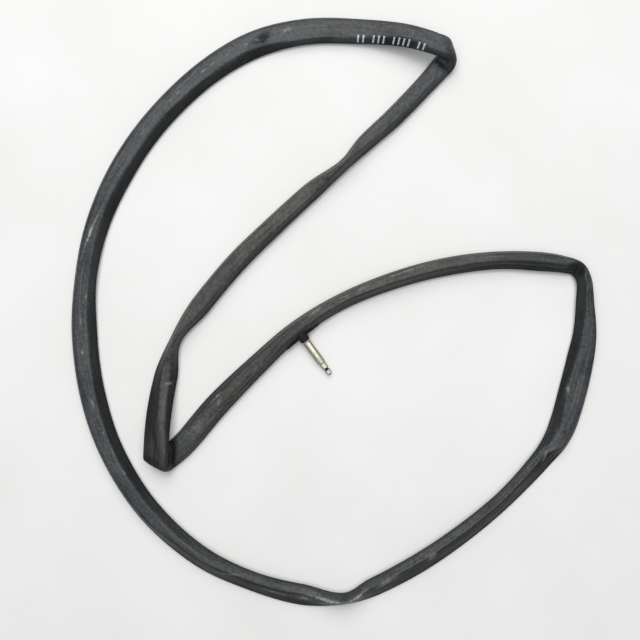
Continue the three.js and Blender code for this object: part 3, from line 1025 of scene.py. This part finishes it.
def butyl_look():
    """Satin butyl with a dull bloom, faint lines along the tube, and rubbed-in talc. Painted shade: less
    bloom on the steep faces and in hollows, and darker near and far edges.
    """
    look = Look("butyl", 0.45, specular=0.2)
    place = look.object_place()
    lie = look.attribute("lie").outputs["Vector"]
    split = look.node("ShaderNodeSeparateXYZ")
    look.link(lie, split.inputs["Vector"])
    across = split.outputs["Z"]
    clouds = look.noise(place, BUTYL["cloud_scale"], 5)
    reach = look.node("ShaderNodeVectorMath", operation="LENGTH")
    look.link(place, reach.inputs[0])
    stray = look.spread(look.noise(place, BUTYL["stray_scale"], 3), *BUTYL["stray"])
    cool = look.spread(look.maths("ADD", reach.outputs["Value"], stray), *BUTYL["warm_reach"])
    streaks = look.noise(look.scaled(lie, BUTYL["streak_scale"]), 1, 4)
    grain = look.noise(place, BUTYL["grain_scale"], 2)
    fine = look.noise(place, BUTYL["fine_scale"], 3)

    fine_bloom = look.spread(fine, *BUTYL["fine_bloom"])
    mottle = look.maths("MULTIPLY", fine_bloom, look.spread(streaks, *BUTYL["streak_bloom"]))
    bloom_and_shade = look.maths("MULTIPLY", look.spread(clouds, *BUTYL["cloud_bloom"]), mottle)
    # Painted shade: the bloom attribute is lower on steep faces and in hollows, which darkens them.
    settled_bloom_and_shade = look.attribute("bloom_and_shade").outputs["Fac"]
    bloom_and_shade = look.maths("MULTIPLY", bloom_and_shade, look.spread(settled_bloom_and_shade, *BUTYL["face_bloom_and_shade"]))
    bloom_and_shade = look.maths("ADD", bloom_and_shade, look.spread(streaks, *BUTYL["pale_streaks"]))
    colour = look.blend(bloom_and_shade, RUBBER, look.blend(cool, BLOOM_WARM, BLOOM_COOL))
    # Painted shade: the far edge turns dark violet and the near edge goes back to the bare dark rubber.
    far = look.spread(across, *BUTYL["far_edge_shade"])
    colour = look.blend(look.maths("MULTIPLY", far, cool), colour, FAR_EDGE_SHADE)
    colour = look.blend(look.spread(across, *BUTYL["near_edge_shade"]), colour, RUBBER)

    dust = look.spread(fine, *BUTYL["dust"])
    dust = look.maths("MULTIPLY", dust, look.spread(clouds, *BUTYL["dusty_clouds"]))
    rubbed_in = look.attribute("talc").outputs["Fac"]
    broken = look.maths("MULTIPLY", rubbed_in, look.spread(fine, *BUTYL["broken_talc"]))
    talc = look.maths("MAXIMUM", broken, dust)
    colour = look.blend(talc, colour, TALC)

    chalky = look.maths("MULTIPLY", talc, BUTYL["talc_roughness"])
    roughness = look.maths("ADD", look.spread(clouds, *BUTYL["roughness"]), chalky)
    lines = look.maths("MULTIPLY", streaks, BUTYL["streak_height"])
    height = look.maths("ADD", lines, look.maths("MULTIPLY", grain, BUTYL["grain_height"]))
    return look.finish(colour, roughness, height, BUTYL["bump"])


MOULDED = {
    "grain_scale": 1800,
    "dust_scale": 260,
    "dust": (0.42, 0.72),
    "roughness": (0.3, 0.7, 0.5, 0.68),
    "bump": 0.00006,
}


def moulded_look(name, dark, light):
    """Matte moulded rubber: fine grain with a little dust on it."""
    look = Look(name, 0.6, specular=0.22)
    place = look.object_place()
    grain = look.noise(place, MOULDED["grain_scale"], 3)
    dust = look.noise(place, MOULDED["dust_scale"], 4)
    colour = look.blend(look.spread(dust, *MOULDED["dust"]), dark, light)
    return look.finish(colour, look.spread(dust, *MOULDED["roughness"]), grain, MOULDED["bump"])


# Painted shade for the gap between the core and the nut, and for the nut's end.
GAP_SHADE = (0.03, 0.028, 0.022)
METAL = {
    "ring_scale": (9, 0.6, 0.25),       # fine along the stem and long round it
    "age_scale": 420,
    "age": (0.45, 0.68),
    "top": (0.5, 0.85),                 # of the sine of the angle round the stem, from the painted shade on the sides to the own colour on top
    "ease": 0.3,                        # length over which the painted shade at the ends sets in
    "age_roughness": (0.35, 0.7),
    "ring_roughness": (0.3, 0.7, 0, 0.08),
    "bump": 0.00003,
}


def metal_look(name, bright, dull, shaded_sides, smoothest, roughest, unshaded_heights=(-20, 60)):
    """Turned metal: rings round the axis, dull patches where it has aged, painted shade down its sides
    below a lighter top, and painted shade outside the given heights along the stem."""
    look = Look(name, 0.3, 1.0)
    place = look.object_place()
    turned_at = look.attribute("turned").outputs["Vector"]
    split = look.node("ShaderNodeSeparateXYZ")
    look.link(turned_at, split.inputs["Vector"])
    along = split.outputs["X"]
    marks = look.noise(look.scaled(turned_at, METAL["ring_scale"]), 1, 3)
    age = look.noise(place, METAL["age_scale"], 4, 0.65)

    colour = look.blend(look.spread(age, *METAL["age"]), bright, dull)
    # Painted shade: the sides of each turned piece are darker than its top.
    upward = look.maths("ABSOLUTE", look.maths("SINE", split.outputs["Z"], 0), 0)
    colour = look.blend(look.spread(upward, *METAL["top"]), shaded_sides, colour)
    # Painted shade outside the given span of heights: the core's end and the nut's neck, which face the gap
    # between them, and the nut's far end.
    above = look.spread(along, unshaded_heights[0] - METAL["ease"], unshaded_heights[0])
    below = look.spread(along, unshaded_heights[1], unshaded_heights[1] + METAL["ease"], 1, 0)
    colour = look.blend(look.maths("MULTIPLY", above, below), GAP_SHADE, colour)

    aged = look.spread(age, *METAL["age_roughness"], smoothest, roughest)
    roughness = look.maths("ADD", aged, look.spread(marks, *METAL["ring_roughness"]))
    return look.finish(colour, roughness, marks, METAL["bump"])


INK = (0.58, 0.63, 0.66)
WORN_INK = (0.16, 0.18, 0.19)


def ink_look():
    """White print that has worn thin in places."""
    look = Look("white_print", 0.55)
    wear = look.noise(look.object_place(), 900, 4, 0.7)
    colour = look.blend(look.spread(wear, 0.5, 0.68), INK, WORN_INK)
    return look.finish(colour, look.spread(wear, 0.3, 0.7, 0.45, 0.65), wear, 0.00003)


PLASTIC = (0.72, 0.7, 0.64)
PLASTIC_SHADE = (0.6, 0.57, 0.5)


def plastic_look():
    """Pale moulded plastic with a fine grain."""
    look = Look("gasket_plastic", 0.5)
    grain = look.noise(look.object_place(), 1400, 3)
    colour = look.blend(look.spread(grain, 0.4, 0.7), PLASTIC, PLASTIC_SHADE)
    return look.finish(colour, look.spread(grain, 0.3, 0.7, 0.42, 0.58), grain, 0.00003)


moulded = moulded_look("moulded_rubber", dark=(0.0045, 0.0047, 0.005), light=(0.017, 0.017, 0.015))
nickel = metal_look(
    "aged_nickel", bright=(0.7, 0.67, 0.57), dull=(0.56, 0.52, 0.42), shaded_sides=(0.22, 0.2, 0.14),
    smoothest=0.46, roughest=0.62, unshaded_heights=(-20, 31.3),
)
# The pin's brass is tarnished and also painted darker, as shade, so the pin reads dark in the gap between
# the core and the nut and at its tip.
brass = metal_look(
    "tarnished_brass_and_gap_shade", bright=(0.13, 0.1, 0.06), dull=(0.04, 0.032, 0.022), shaded_sides=(0.05, 0.04, 0.025),
    smoothest=0.35, roughest=0.5,
)
steel = metal_look(
    "nut_steel", bright=(0.86, 0.85, 0.82), dull=(0.7, 0.68, 0.63), shaded_sides=(0.5, 0.49, 0.45),
    smoothest=0.24, roughest=0.4, unshaded_heights=(33.8, 36.7),
)

# ---- what each piece rides on and stands for -----------------

for piece, body, node, slot, look in (
    (tube, "tube", "rubber_tube", "butyl", butyl_look()),
    (valve_pad, "tube", "valve_pad", "moulded_rubber", moulded),
    (boss, "tube", "valve_boss", "moulded_rubber", moulded),
    (stem, "tube", "valve_stem", "nickel", nickel),
    (core, "core", "core_body", "nickel", nickel),
    (pin, "plunger", "plunger_pin", "brass", brass),
    (nut, "nut", "lock_nut", "steel", steel),
    (bars, "tube", None, "plastic", ink_look()),
):
    piece.data.materials.append(look)
    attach(piece, body)
    if node:
        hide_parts(node)

for node, look in (
    ("core_gasket", plastic_look()),
    ("plunger_seal", moulded_look("seal_rubber", (0.01, 0.01, 0.011), (0.025, 0.025, 0.026))),
    ("seal_cup", brass),
):
    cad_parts[node].material_slots[0].material = look
